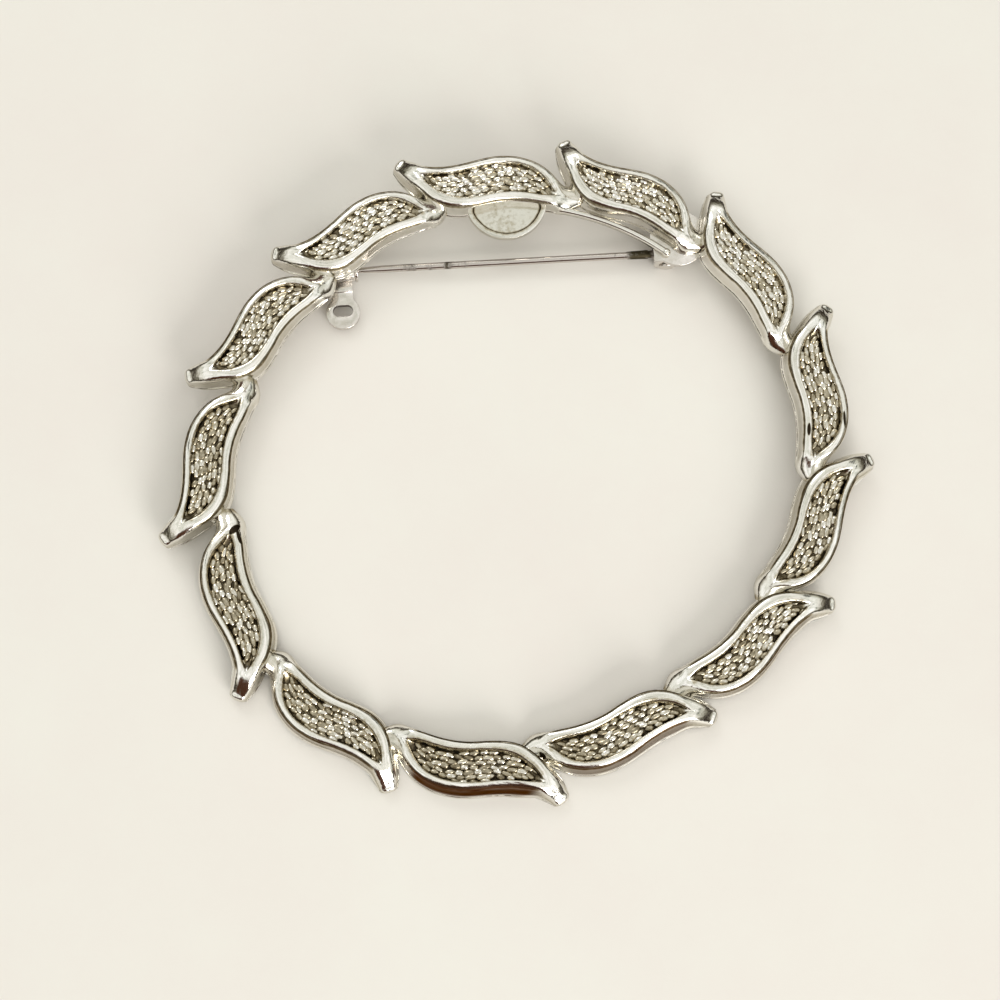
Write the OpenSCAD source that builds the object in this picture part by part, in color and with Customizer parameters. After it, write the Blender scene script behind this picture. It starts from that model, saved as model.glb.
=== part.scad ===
// A round wreath brooch of curled leaves with a hinged pin and a rolling safety catch.
// It is drawn with the back of the casting on z = 0, the leaves facing +Z, and then laid
// down on its back as it rests by itself: on the catch, the hinge and the lowest leaf.

/* [Ring] */
// Number of leaves round the ring
leaf_count = 13; // [12:1:14]
// Mean radius of the line through the middles of the leaves
ring_radius = 22.2; // [21.5:0.1:23]
// Share by which the ring is longer one way and shorter the other
ring_oval = 0.05; // [0:0.01:0.06]
// Direction of the ring's longer axis
oval_angle = 28; // [0:1:180]
// Direction of the first leaf, counted anticlockwise from +X
first_leaf_angle = 97; // [80:1:110]
// Angle by which each leaf's tip is turned out of the ring
tip_turn = 15; // [12:1:18]

/* [Leaf] */
// Length of the recess from its tip end to its root end
leaf_length = 9.9; // [9:0.1:10.5]
// Height of the rim near the tip, above the back
rim_height = 2.1; // [1.8:0.05:2.4]
// Depth of the recess below the rim
recess_depth = 0.7; // [0.3:0.05:0.9]
// How far the walls spread out from the rim down to the back
wall_flare = 0.7; // [0.4:0.05:0.8]
// Radius of the small nub at each tip
nub_radius = 0.34; // [0.25:0.01:0.4]

/* [Back] */
// Radius of the half-round tab under the top leaf
tab_radius = 3.15; // [2.6:0.05:3.3]
// Thickness of the tab inside its border
tab_thickness = 0.45; // [0.3:0.05:0.6]
// Width of the tab's raised border
tab_border = 0.35; // [0.2:0.05:0.5]
// Radius of the thin rail along the inner edge beside the hinge
rail_radius = 20; // [19.6:0.1:20.4]
// Width of the rail
rail_width = 0.5; // [0.4:0.05:0.7]

/* [Pin] */
// Depth of the pin's axis behind the casting
pin_drop = 1.25; // [1.2:0.01:1.3]
// Slope of the pin across the brooch
pin_slope = 4; // [2:0.5:6]
// Diameter of the pin's wire
pin_wire = 0.56; // [0.45:0.01:0.6]
// Length from the rivet to the point
pin_length = 27; // [26.5:0.1:28]
// Length of the tapered end
point_length = 5; // [3:0.5:8]
// Diameter of the collar beside the eye
collar_diameter = 0.7; // [0.6:0.02:0.76]

/* [Hinge] */
// Diameter of the pin's eye
eye_diameter = 1.5; // [1.3:0.05:1.6]
// Thickness of the eye
eye_thickness = 0.8; // [0.6:0.05:0.9]
// Diameter of the rivet
rivet_diameter = 0.76; // [0.5:0.02:0.8]
// Thickness of each cheek of the bracket
cheek_thickness = 0.48; // [0.4:0.02:0.55]
// Radius of the cheeks round the rivet
cheek_radius = 1; // [0.95:0.01:1.02]
// Diameter of the round pad by which the hinge is soldered on
pad_diameter = 4.4; // [4:0.1:4.8]

/* [Catch] */
// Distance from the rivet to the middle of the catch
catch_reach = 25.2; // [25:0.1:25.5]
// Outer diameter of the housing
housing_diameter = 2.4; // [2.3:0.02:2.4]
// Length of the housing
housing_length = 2.1; // [1.8:0.1:2.4]
// Diameter of the rolling sleeve
sleeve_diameter = 1.66; // [1.6:0.02:1.7]
// Width of the sleeve's slot, which the pin passes through
slot_width = 0.78; // [0.74:0.02:0.8]
// Distance from the sleeve's axis to the end of its thumb tab
thumb_reach = 4.6; // [4.2:0.1:5]
// Width of the thumb tab's round head
thumb_width = 2.6; // [2.4:0.1:2.8]

/* [Hidden] */
$fn = 48;

// Colours
SILVER = "#d9d8d4";
DULL = "#b9b6ae";

// The leaf's sections, from the nub to the root. A section's columns are: the place along
// the leaf, the rim's outer edge, the floor's outer edge, the floor's inner edge, the rim's
// inner edge, and the rim's height as a share of rim_height.
ALONG = 0;
RIM_OUT = 1;
FLOOR_OUT = 2;
FLOOR_IN = 3;
RIM_IN = 4;
HEIGHT = 5;
leaf_sections = [
    [-1.60, 1.20, 0.92, 0.88, 0.60, 0.52],
    [-0.90, 0.80, 0.44, 0.40, 0.02, 0.82],
    [0.00, 0.48, 0.05, -0.03, -0.70, 0.98],
    [0.80, 0.48, 0.24, -0.62, -1.28, 1.00],
    [1.80, 0.66, 0.44, -1.05, -1.68, 0.99],
    [3.00, 1.08, 0.80, -1.20, -1.75, 0.96],
    [4.50, 1.73, 1.42, -0.90, -1.33, 0.93],
    [5.60, 2.07, 1.75, -0.50, -0.91, 0.90],
    [6.80, 2.22, 1.93, -0.20, -0.64, 0.86],
    [8.00, 2.08, 1.75, -0.12, -0.56, 0.82],
    [9.00, 1.70, 1.13, -0.15, -0.60, 0.78],
    [9.75, 1.15, 0.25, -0.05, -0.62, 0.75],
    [10.35, 0.60, 0.00, -0.10, -0.70, 0.68],
    [10.85, 0.65, 0.05, -0.55, -1.05, 0.46],
    [11.35, 0.80, 0.20, -0.40, -0.85, 0.40],
    [12.00, 1.10, 0.60, 0.20, 0.00, 0.34]
];
section_length = 9.9;
tray_end = 10.4;
steps_per_row = 2;

// What each leaf departs from the even ring by, clockwise from the first. The columns are:
// clockwise shift, outward shift, extra turn and length as a share of leaf_length.
SHIFT = 0;
OUT = 1;
TURN = 2;
STRETCH = 3;
leaf_nudges = [
    [-0.17, 0.02, -1, 1.03],
    [-0.02, -0.17, -1, 0.96],
    [0.20, -0.40, -1, 0.97],
    [0.25, -0.13, 1, 0.98],
    [-0.20, 0.10, -1, 1.00],
    [-0.90, 0.20, 1, 1.03],
    [0.10, -0.20, 6, 1.05],
    [0.04, 0.32, 0, 1.03],
    [-0.04, 0.53, 3, 0.97],
    [0.17, 0.00, -4, 1.01],
    [0.30, 0.00, -4, 1.00],
    [0.29, -0.18, -2, 0.97],
    [0.12, 0.02, 3, 0.99]
];

// Smooth curve through the rows of a table
function clamped(i, n) = max(0, min(n - 1, i));
function spline(a, b, c, d, t) =
    0.5 * (2 * b + (c - a) * t + (2 * a - 5 * b + 4 * c - d) * t * t + (3 * b - a - 3 * c + d) * t * t * t);
function row_at(table, u) =
    let (n = len(table), k = min(floor(u), n - 2))
    spline(table[clamped(k - 1, n)], table[k], table[k + 1], table[clamped(k + 2, n)], u - k);

// One section as points across the leaf, from the outer foot over both rims to the inner foot
shoulder_drop = 0.2;
shoulder_share = 0.3;
crest_drop = 0.03;
crest_share = 0.65;
least_floor = 0.05;
full_floor = 0.5;
waist_height = 0.5;
waist_spread = 0.4;
function section_points(row, stretch) =
    let (
        x = row[ALONG] * stretch * leaf_length / section_length,
        top = row[HEIGHT] * rim_height,
        foot = wall_flare * row[HEIGHT],
        middle = (row[FLOOR_OUT] + row[FLOOR_IN]) / 2,
        half = max(row[FLOOR_OUT] - row[FLOOR_IN], least_floor) / 2,
        wide_out = row[RIM_OUT] - middle - half,
        wide_in = middle - half - row[RIM_IN],
        is_tray = row[ALONG] > tray_end ? 0 : 1,
        depth = recess_depth * is_tray * min(1, (2 * half - least_floor) / full_floor)
    )
    [
        [x, row[RIM_OUT] + foot, 0],
        [x, row[RIM_OUT] + foot * waist_spread, top * waist_height],
        [x, row[RIM_OUT], top - shoulder_drop],
        [x, row[RIM_OUT] - wide_out * shoulder_share, top - crest_drop],
        [x, row[RIM_OUT] - wide_out * crest_share, top],
        [x, middle + half, top - depth],
        [x, middle - half, top - depth],
        [x, row[RIM_IN] + wide_in * crest_share, top],
        [x, row[RIM_IN] + wide_in * shoulder_share, top - crest_drop],
        [x, row[RIM_IN], top - shoulder_drop],
        [x, row[RIM_IN] - foot * waist_spread, top * waist_height],
        [x, row[RIM_IN] - foot, 0]
    ];

// Closed skin through equal sections, given in order
module loft(sections) {
    m = len(sections[0]);
    n = len(sections);
    sides = [
        for (i = [0 : n - 2], j = [0 : m - 1])
            let (a = i * m + j, b = i * m + (j + 1) % m)
            each [[a, b + m, b], [a, a + m, b + m]]
    ];
    ends = [[for (j = [0 : m - 1]) j], [for (j = [m - 1 : -1 : 0]) (n - 1) * m + j]];
    polyhedron(points = [for (s = sections) each s], faces = concat(sides, ends), convexity = 6);
}

// Place and direction of each leaf on the oval
function oval_phase(i) = first_leaf_angle - 360 / leaf_count * i;
function leaf_angle(i) = oval_phase(i) - ring_oval * 90 / PI * sin(2 * (oval_phase(i) - oval_angle));
function leaf_radius(i) = ring_radius * (1 + ring_oval * cos(2 * (leaf_angle(i) - oval_angle)));
function oval_lean(i) = ring_oval * 360 / PI * sin(2 * (leaf_angle(i) - oval_angle));
function nudge(i) = leaf_nudges[i % len(leaf_nudges)];
function leaf_direction(i) = leaf_angle(i) - 90 - tip_turn + oval_lean(i) + nudge(i)[TURN];
function unit(a) = [cos(a), sin(a)];
function leaf_middle(i) =
    (leaf_radius(i) + nudge(i)[OUT]) * unit(leaf_angle(i)) + nudge(i)[SHIFT] * unit(leaf_angle(i) - 90);
function leaf_start(i) = leaf_middle(i) - nudge(i)[STRETCH] * leaf_length / 2 * unit(leaf_direction(i));

// Feet of the leaves seen from above, which give the size of the whole ring
leaf_feet = [
    for (i = [0 : leaf_count - 1], row = leaf_sections)
        let (s = section_points(row, nudge(i)[STRETCH]), d = leaf_direction(i))
        for (p = [s[0], s[len(s) - 1]])
            leaf_start(i) + p[0] * unit(d) + p[1] * unit(d + 90)
];
ring_front = min([for (p = leaf_feet) p[1]]);
ring_rear = max([for (p = leaf_feet) p[1]]);
ring_left = min([for (p = leaf_feet) p[0]]);
ring_right = max([for (p = leaf_feet) p[0]]);

// Hinge and pin
hinge_place = [11.5, 16.9];
rivet_hole = rivet_diameter + 2 * 0.01;
eye_hole = rivet_diameter + 2 * 0.04;
eye_gap = 0.06;
plate_thickness = 0.35;
plate_front = 1.1;
plate_rear = 1.4;
pad_place = [-0.9, -0.85];
rivet_head = 1.2;
rivet_head_height = 0.2;
cheek_inner = eye_thickness / 2 + eye_gap;
cheek_outer = cheek_inner + cheek_thickness;
collar_start = 1.4;
collar_length = 1.6;
eye_overlap = 0.14;
neck_start = rivet_diameter / 2 + eye_overlap;
neck_diameter = 0.66;
collar_end = collar_diameter - 0.08;
wire_start = collar_start + collar_length;
point_radius = 0.08;

// Catch
housing_bore = sleeve_diameter + 2 * 0.04;
sleeve_bore = 1.04;
flange_diameter = 1.84;
flange_thickness = 0.2;
flange_gap = 0.05;
wall_from = 32;
wall_to = 235;
foot_width = 1.7;
thumb_thickness = 0.5;
thumb_neck = 1.7;
thumb_start = sleeve_bore / 2 + 0.1;
lip_width = 0.86;
lip_start = 1.3;
lip_length = 0.45;
window_length = 1.5;
window_width = 0.85;
window_reach = 3.2;
sleeve_half = housing_length / 2 + flange_gap + flange_thickness;

// The brooch leans on the inner edge of the hinge and on the foremost leaf's foot
hinge_low = pin_drop + cheek_radius;
hinge_touch = hinge_place[1] - cheek_outer;
rest_lean = atan(hinge_low / (hinge_touch - ring_front));

module lay() {
    translate([-(ring_left + ring_right) / 2, -(ring_front + ring_rear) / 2, -ring_front * sin(rest_lean)])
        rotate([rest_lean, 0, 0])
            children();
}

// Pin's own frame: the rivet is the origin, +X runs to the point and +Y into the ring
module at_pin() {
    translate([hinge_place[0], hinge_place[1], -pin_drop])
        rotate([0, 0, 180 + pin_slope])
            children();
}

module leaf(stretch) {
    rows = len(leaf_sections) - 1;
    loft([
        for (k = [0 : rows * steps_per_row])
            section_points(row_at(leaf_sections, k / steps_per_row), stretch)
    ]);
    nub(stretch);
}

// Rounded tip that stands at the end of the keel
module nub(stretch) {
    tip = leaf_sections[0];
    x = tip[ALONG] * stretch;
    y = (tip[RIM_OUT] + tip[RIM_IN]) / 2;
    foot_spread = 1.5;
    hull() {
        translate([x, y, tip[HEIGHT] * rim_height - nub_radius])
            sphere(r = nub_radius, $fn = 10);
        translate([x + nub_radius / 2, y, 0])
            cylinder(r = nub_radius * foot_spread, h = nub_radius, $fn = 10);
    }
}

// The tab's border stands proud, and its straight side lies under the leaf
module half_round_tab() {
    border_height = tab_thickness + 0.15;
    straight_side = 1.6;
    translate([-1, 20.55, 0])
        difference() {
            cylinder(r = tab_radius, h = border_height);
            translate([0, 0, tab_thickness])
                cylinder(r = tab_radius - tab_border, h = border_height);
            translate([-tab_radius, straight_side, -border_height])
                cube([2 * tab_radius, tab_radius, 3 * border_height]);
        }
}

// The rail is rounded along its top and ends in a small knob beside the hinge
module hinge_rail() {
    rail_from = 55.5;
    rail_to = 81;
    rail_height = 0.75;
    knob = rail_width * 1.3;
    rotate([0, 0, rail_from])
        rotate_extrude(angle = rail_to - rail_from, $fn = 120) {
            translate([rail_radius - rail_width / 2, 0])
                square([rail_width, rail_height - rail_width / 2]);
            translate([rail_radius, rail_height - rail_width / 2])
                circle(d = rail_width, $fn = 12);
        }
    rotate([0, 0, rail_from])
        translate([rail_radius, 0, 0]) {
            cylinder(d = knob, h = rail_height - rail_width / 2, $fn = 16);
            translate([0, 0, rail_height - rail_width / 2])
                sphere(d = knob, $fn = 16);
        }
}

module wreath() {
    color(SILVER)
        lay()
            union() {
                for (i = [0 : leaf_count - 1])
                    translate(concat(leaf_start(i), 0))
                        rotate([0, 0, leaf_direction(i)])
                            leaf(nudge(i)[STRETCH]);
                half_round_tab();
                hinge_rail();
            }
}

module hinge_bracket() {
    color(DULL)
        lay()
            at_pin()
                difference() {
                    union() {
                        translate([-plate_rear, -cheek_outer, pin_drop - plate_thickness])
                            cube([plate_rear + plate_front, 2 * cheek_outer, plate_thickness]);
                        translate([pad_place[0], pad_place[1], pin_drop - plate_thickness])
                            cylinder(d = pad_diameter, h = plate_thickness);
                        for (y = [-cheek_outer, cheek_inner])
                            translate([0, y, 0]) {
                                rotate([-90, 0, 0])
                                    cylinder(r = cheek_radius, h = cheek_thickness);
                                translate([-cheek_radius, 0, 0])
                                    cube([2 * cheek_radius, cheek_thickness, pin_drop - plate_thickness]);
                            }
                    }
                    rotate([90, 0, 0])
                        cylinder(d = rivet_hole, h = 2 * cheek_outer + 1, center = true);
                }
}

module hinge_rivet() {
    color(DULL)
        lay()
            at_pin()
                rotate([90, 0, 0]) {
                    cylinder(d = rivet_diameter, h = 2 * cheek_outer, center = true);
                    for (side = [0, 1])
                        mirror([0, 0, side])
                            translate([0, 0, cheek_outer])
                                cylinder(d = rivet_head, h = rivet_head_height);
                }
}

module pin_stem() {
    color(SILVER)
        lay()
            at_pin()
                difference() {
                    union() {
                        rotate([90, 0, 0])
                            cylinder(d = eye_diameter, h = eye_thickness, center = true);
                        translate([neck_start, 0, 0])
                            rotate([0, 90, 0])
                                cylinder(d1 = neck_diameter, d2 = pin_wire, h = collar_start - neck_start);
                        translate([collar_start, 0, 0])
                            rotate([0, 90, 0])
                                cylinder(d1 = collar_diameter, d2 = collar_end, h = collar_length);
                        translate([wire_start, 0, 0])
                            rotate([0, 90, 0])
                                cylinder(d = pin_wire, h = pin_length - point_length - wire_start);
                        translate([pin_length - point_length, 0, 0])
                            rotate([0, 90, 0])
                                cylinder(r1 = pin_wire / 2, r2 = point_radius, h = point_length);
                    }
                    rotate([90, 0, 0])
                        cylinder(d = eye_hole, h = eye_thickness + 1, center = true);
                }
}

// Fan of the given radius between two directions, for cutting a tube open
module fan(from, to, radius) {
    step = (to - from) / 4;
    polygon(concat([[0, 0]], [for (k = [0 : 4]) radius * unit(from + k * step)]));
}

// Catch's own frame: +Z runs along the pin, +X into the ring and +Y towards the casting
module at_catch() {
    at_pin()
        translate([catch_reach, 0, 0])
            rotate([90, 0, 90])
                children();
}

module catch_housing() {
    color(DULL)
        lay()
            at_catch()
                difference() {
                    union() {
                        cylinder(d = housing_diameter, h = housing_length, center = true);
                        translate([-foot_width / 2, 0, -housing_length / 2])
                            cube([foot_width, pin_drop, housing_length]);
                    }
                    cylinder(d = housing_bore, h = housing_length + 1, center = true);
                    translate([0, 0, -housing_length])
                        linear_extrude(2 * housing_length)
                            fan(wall_to - 360, wall_from, housing_diameter);
                }
}

module catch_sleeve() {
    window_side = (window_length - window_width) / 2;
    color(SILVER)
        lay()
            at_catch()
                difference() {
                    union() {
                        cylinder(d = sleeve_diameter, h = 2 * sleeve_half, center = true);
                        for (side = [0, 1])
                            mirror([0, 0, side])
                                translate([0, 0, sleeve_half - flange_thickness])
                                    cylinder(d = flange_diameter, h = flange_thickness);
                        rotate([90, 0, 0])
                            linear_extrude(thumb_thickness, center = true)
                                difference() {
                                    union() {
                                        translate([thumb_start, -thumb_neck / 2])
                                            square([window_reach - thumb_start, thumb_neck]);
                                        translate([thumb_reach - thumb_width / 2, 0])
                                            circle(d = thumb_width);
                                    }
                                    for (side = [-1, 1])
                                        translate([window_reach, side * window_side])
                                            circle(d = window_width);
                                    translate([window_reach, 0])
                                        square([window_width, 2 * window_side], center = true);
                                }
                        translate([lip_start, -lip_width / 2, -thumb_neck / 2])
                            cube([lip_length, lip_width, thumb_neck]);
                    }
                    cylinder(d = sleeve_bore, h = 3 * sleeve_half, center = true);
                    translate([-slot_width / 2, -2, -2 * sleeve_half])
                        cube([slot_width, 2, 4 * sleeve_half]);
                }
}

wreath();
hinge_bracket();
hinge_rivet();
pin_stem();
catch_housing();
catch_sleeve();
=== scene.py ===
# %% [markdown]
# # A silver-toned wreath brooch, lying on its back
#
# The brooch is one ring-shaped casting: thirteen curled leaves, each a little tray with a
# rounded rim, a sloping outside wall and a floor covered in raised scales. Stock findings
# are soldered behind it: a hinge with a long pin, and a catch with a sleeve that rolls shut.
#
# The solid model gives every size. Here each piece gets the looks of the real one: the
# casting is modelled again with its rolled rims and its scales, and the findings get
# softened edges. Lengths are in millimetres in the tables and become metres in the mesh.

# %% Load the solid model and keep its box
import bpy
import bmesh
import math
import random
from mathutils import Matrix, Vector


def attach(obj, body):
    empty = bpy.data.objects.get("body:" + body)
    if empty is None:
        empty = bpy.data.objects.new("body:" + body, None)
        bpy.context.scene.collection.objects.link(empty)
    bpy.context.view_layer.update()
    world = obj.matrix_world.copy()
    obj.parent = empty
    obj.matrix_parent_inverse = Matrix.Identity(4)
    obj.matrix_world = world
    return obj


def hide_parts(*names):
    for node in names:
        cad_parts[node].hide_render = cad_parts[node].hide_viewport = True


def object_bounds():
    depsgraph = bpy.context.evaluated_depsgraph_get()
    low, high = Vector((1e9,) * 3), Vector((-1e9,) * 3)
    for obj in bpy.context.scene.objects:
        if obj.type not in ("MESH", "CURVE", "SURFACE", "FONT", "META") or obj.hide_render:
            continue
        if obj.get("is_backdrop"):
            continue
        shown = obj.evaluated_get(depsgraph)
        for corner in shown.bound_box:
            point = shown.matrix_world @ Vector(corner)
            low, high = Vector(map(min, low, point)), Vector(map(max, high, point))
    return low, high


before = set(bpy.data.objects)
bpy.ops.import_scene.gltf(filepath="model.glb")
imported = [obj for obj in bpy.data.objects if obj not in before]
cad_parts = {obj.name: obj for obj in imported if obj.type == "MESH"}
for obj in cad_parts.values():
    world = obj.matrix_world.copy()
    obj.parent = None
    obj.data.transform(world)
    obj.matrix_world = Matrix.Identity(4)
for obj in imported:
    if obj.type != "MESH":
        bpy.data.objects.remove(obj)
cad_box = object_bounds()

MM = 0.001
scene = bpy.context.scene
print("nodes:", sorted(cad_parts))

# %% [markdown]
# The brooch lies on a table as it rests by itself: the hinge and the catch hold its top
# edge up, so its back slopes by about three degrees. Every piece is easiest to model with
# the back flat and the ring's middle at the origin, and one matrix then lays it down.

# %% The slope at which it rests, and the matrix that lays a piece down
REST_LEAN = math.radians(3.10663)
REST_SHIFT = Vector((-0.0818, 0.10045, 1.38175))
LAY = Matrix.Translation(REST_SHIFT * MM) @ Matrix.Rotation(REST_LEAN, 4, "X")
print("the back slopes by %.2f degrees" % math.degrees(REST_LEAN))

# %% [markdown]
# The camera comes first, because everything is judged through it. The photograph looks
# almost straight down, from a hand's breadth away and a little from the front, so near
# walls show more of their outside than far ones. The three columns below are the camera's
# right, up and backward directions as seen from the brooch.

# %% Camera
CAMERA_TURN = Matrix((
    (0.99889, -0.00703, -0.04655),
    (0.0, 0.98879, -0.14934),
    (0.04708, 0.14917, 0.98769),
))
CAMERA_PLACE = Vector((-7.96, -23.70, 138.52))
VIEW_ANGLE = 30
camera_data = bpy.data.cameras.new("camera")
camera_data.angle = math.radians(VIEW_ANGLE)
camera_data.clip_start = 5 * MM
camera = bpy.data.objects.new("camera", camera_data)
camera.matrix_world = LAY @ (Matrix.Translation(CAMERA_PLACE * MM) @ CAMERA_TURN.to_4x4())
scene.collection.objects.link(camera)
scene.camera = camera
print("camera stands at", [round(c, 4) for c in camera.location])

# %% [markdown]
# ## Small tools
#
# An operator works on whatever is selected, so each step first clears the selection and
# then picks its faces, edges or points by where they are.

# %% Selecting and joining
def alone(obj):
    """Makes obj the only selected object, and the active one."""
    if bpy.context.mode != "OBJECT":
        bpy.ops.object.mode_set(mode="OBJECT")
    bpy.ops.object.select_all(action="DESELECT")
    obj.select_set(True)
    bpy.context.view_layer.objects.active = obj


def start_edit(obj):
    """Goes into edit mode on obj alone."""
    alone(obj)
    bpy.ops.object.mode_set(mode="EDIT")


def end_edit():
    """Goes back to object mode."""
    bpy.ops.object.mode_set(mode="OBJECT")


def choose(obj, kind, test):
    """In edit mode, selects and counts the VERT, EDGE or FACE elements that pass the test."""
    bpy.ops.mesh.select_mode(type=kind)
    bpy.ops.mesh.select_all(action="DESELECT")
    mesh = bmesh.from_edit_mesh(obj.data)
    group = {"VERT": mesh.verts, "EDGE": mesh.edges, "FACE": mesh.faces}[kind]
    found = [e for e in group if test(e)]
    for e in found:
        e.select_set(True)
    bmesh.update_edit_mesh(obj.data)
    return len(found)


def middle(element):
    """The middle of an edge or face, in millimetres."""
    points = [v.co for v in element.verts]
    return sum(points, Vector()) / len(points) / MM


def made(name):
    """Names the primitive that was just added."""
    obj = bpy.context.object
    obj.name = name
    obj.data.name = name
    return obj


def use(obj, kind, **settings):
    """Adds a modifier with its settings and applies it."""
    alone(obj)
    modifier = obj.modifiers.new(kind.lower(), kind)
    for key, value in settings.items():
        setattr(modifier, key, value)
    bpy.ops.object.modifier_apply(modifier=modifier.name)


def outward(obj, gap=0.002):
    """Merges doubled points and asks for the faces to point outward."""
    start_edit(obj)
    bpy.ops.mesh.select_all(action="SELECT")
    bpy.ops.mesh.remove_doubles(threshold=gap * MM)
    bpy.ops.mesh.normals_make_consistent(inside=False)
    end_edit()


def copy_of(obj, name, matrix):
    """A copy with its own mesh, moved by the matrix."""
    twin = bpy.data.objects.new(name, obj.data.copy())
    twin.data.transform(matrix)
    scene.collection.objects.link(twin)
    return twin


def join(name, objs):
    """Joins the objects into one, under the given name."""
    alone(objs[0])
    for o in objs:
        o.select_set(True)
    bpy.ops.object.join()
    return made(name)


def remove(obj):
    """Deletes an object and its mesh."""
    mesh = obj.data
    bpy.data.objects.remove(obj)
    bpy.data.meshes.remove(mesh)


def triangles(obj):
    """How many triangles the object's faces come to."""
    return sum(len(p.vertices) - 2 for p in obj.data.polygons)


# %% [markdown]
# ## The leaf
#
# On the real brooch every leaf is the same little tray, bent into an S: a pointed tip that
# stands clear of the ring, a belly on one side and then on the other, and a root that dives
# under the next leaf. It could be carved from a block, but a leaf is easier to describe as
# a row of cross-sections, so that is what the table holds. The columns are: the place along
# the leaf, the rim's outer edge, the floor's outer edge, the floor's inner edge, the rim's
# inner edge, and the rim's height as a share of the full height.

# %% The leaf's sections
ALONG, RIM_OUT, FLOOR_OUT, FLOOR_IN, RIM_IN, HEIGHT = range(6)
LEAF_SECTIONS = [
    (-1.60, 1.20, 0.92, 0.88, 0.60, 0.52),
    (-0.90, 0.80, 0.44, 0.40, 0.02, 0.82),
    (0.00, 0.48, 0.05, -0.03, -0.70, 0.98),
    (0.80, 0.48, 0.24, -0.62, -1.28, 1.00),
    (1.80, 0.66, 0.44, -1.05, -1.68, 0.99),
    (3.00, 1.08, 0.80, -1.20, -1.75, 0.96),
    (4.50, 1.73, 1.42, -0.90, -1.33, 0.93),
    (5.60, 2.07, 1.75, -0.50, -0.91, 0.90),
    (6.80, 2.22, 1.93, -0.20, -0.64, 0.86),
    (8.00, 2.08, 1.75, -0.12, -0.56, 0.82),
    (9.00, 1.70, 1.13, -0.15, -0.60, 0.78),
    (9.75, 1.15, 0.25, -0.05, -0.62, 0.75),
    (10.35, 0.72, 0.01, -0.07, -0.76, 0.66),
    (10.85, 0.60, -0.06, -0.14, -0.84, 0.54),
    (11.35, 0.62, 0.04, -0.04, -0.70, 0.45),
    (12.00, 0.80, 0.30, 0.22, -0.20, 0.37),
]
RIM_HEIGHT = 2.1
RECESS_DEPTH = 0.7
WALL_FLARE = 0.7  # how far the foot stands out under a rim of full height
TRAY_END = 10.4  # beyond this place the leaf has no recess
FULL_FLOOR = 0.5  # a floor this much wider than the narrowest one has the full depth
LEAST_FLOOR = 0.05
FINE_STEPS = 20


def smooth_row(table, u):
    """A row between the table's rows, on a smooth curve through them."""
    k = min(int(u), len(table) - 2)
    t = u - k
    a, b, c, d = (table[max(0, min(len(table) - 1, k + i))] for i in (-1, 0, 1, 2))
    return [0.5 * (2 * q + (r - p) * t + (2 * p - 5 * q + 4 * r - s) * t**2
                   + (3 * q - p - 3 * r + s) * t**3)
            for p, q, r, s in zip(a, b, c, d)]


FINE_ROWS = [smooth_row(LEAF_SECTIONS, k / FINE_STEPS)
             for k in range(FINE_STEPS * (len(LEAF_SECTIONS) - 1) + 1)]


def row_along(x):
    """The section that lies nearest to a place along the leaf."""
    return min(FINE_ROWS, key=lambda row: abs(row[ALONG] - x))


def tray(row):
    """The rim's top, the recess's depth and the middle and half width of its floor."""
    centre = (row[FLOOR_OUT] + row[FLOOR_IN]) / 2
    half = max(row[FLOOR_OUT] - row[FLOOR_IN], LEAST_FLOOR) / 2
    fullness = min(1, (2 * half - LEAST_FLOOR) / FULL_FLOOR)
    depth = 0 if row[ALONG] > TRAY_END else RECESS_DEPTH * fullness
    return row[HEIGHT] * RIM_HEIGHT, max(depth, 0), centre, half


print("sections in the table:", len(LEAF_SECTIONS), "and between them:", len(FINE_ROWS))

# %% [markdown]
# Across the leaf, the skin starts with a low flange at the foot, climbs steeply, turns over
# a full shoulder with a narrow bevel at half a right angle, runs gently up to the rim's lip
# and drops to the floor. Flange, bevel and lip matter: polished metal shows the bevel as a
# dark line between two bright ones, as in the photograph. The other half is the same in
# mirror image, with its own width of rim. Past the end of the tray, rims and floor close up
# into one rounded ridge.

# %% One half of a section, from the foot up to the floor
RIDGE_FROM, RIDGE_TO = 9.9, 10.7
RIDGE_POWER = 2.5


def ramp(value, low, high):
    """0 below low, 1 above high, and smooth between them."""
    t = max(0.0, min(1.0, (value - low) / (high - low)))
    return t * t * (3 - 2 * t)


def half_section(top, depth, edge, floor, sign):
    """Points (across, height) on one side. sign is 1 on the leaf's outer side and -1 inside."""
    foot = WALL_FLARE * top / RIM_HEIGHT
    wide = (edge - floor) * sign
    drop = top / RIM_HEIGHT
    over = [
        (foot, 0.0),  # flange
        (foot, 0.12 * drop),
        (0.95 * foot, 0.20 * drop),
        (0.82 * foot, 0.26 * drop),
        (0.74 * foot, 0.42 * drop),  # wall
        (0.68 * foot, 0.50 * top),
        (0.65 * foot, top - 0.84 * drop),
        (0.61 * foot, top - 0.57 * drop),  # shoulder
        (0.56 * foot, top - 0.39 * drop),
        (0.50 * foot, top - 0.28 * drop),  # bevel
        (0.33 * foot, top - 0.15 * drop),
        (0.18 * foot, top - 0.08 * drop),
        (0.0, top - 0.04 * drop),  # rim
        (-0.24 * wide, top - 0.01 * drop),
        (-0.50 * wide, top),
        (-0.74 * wide, top - 0.05 * depth),  # lip
        (-0.90 * wide, top - 0.30 * depth),
        (-wide, top - 0.85 * depth),
        (-wide - 0.04, top - depth),  # floor
    ]
    return [(edge + across * sign, height) for across, height in over]


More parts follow.
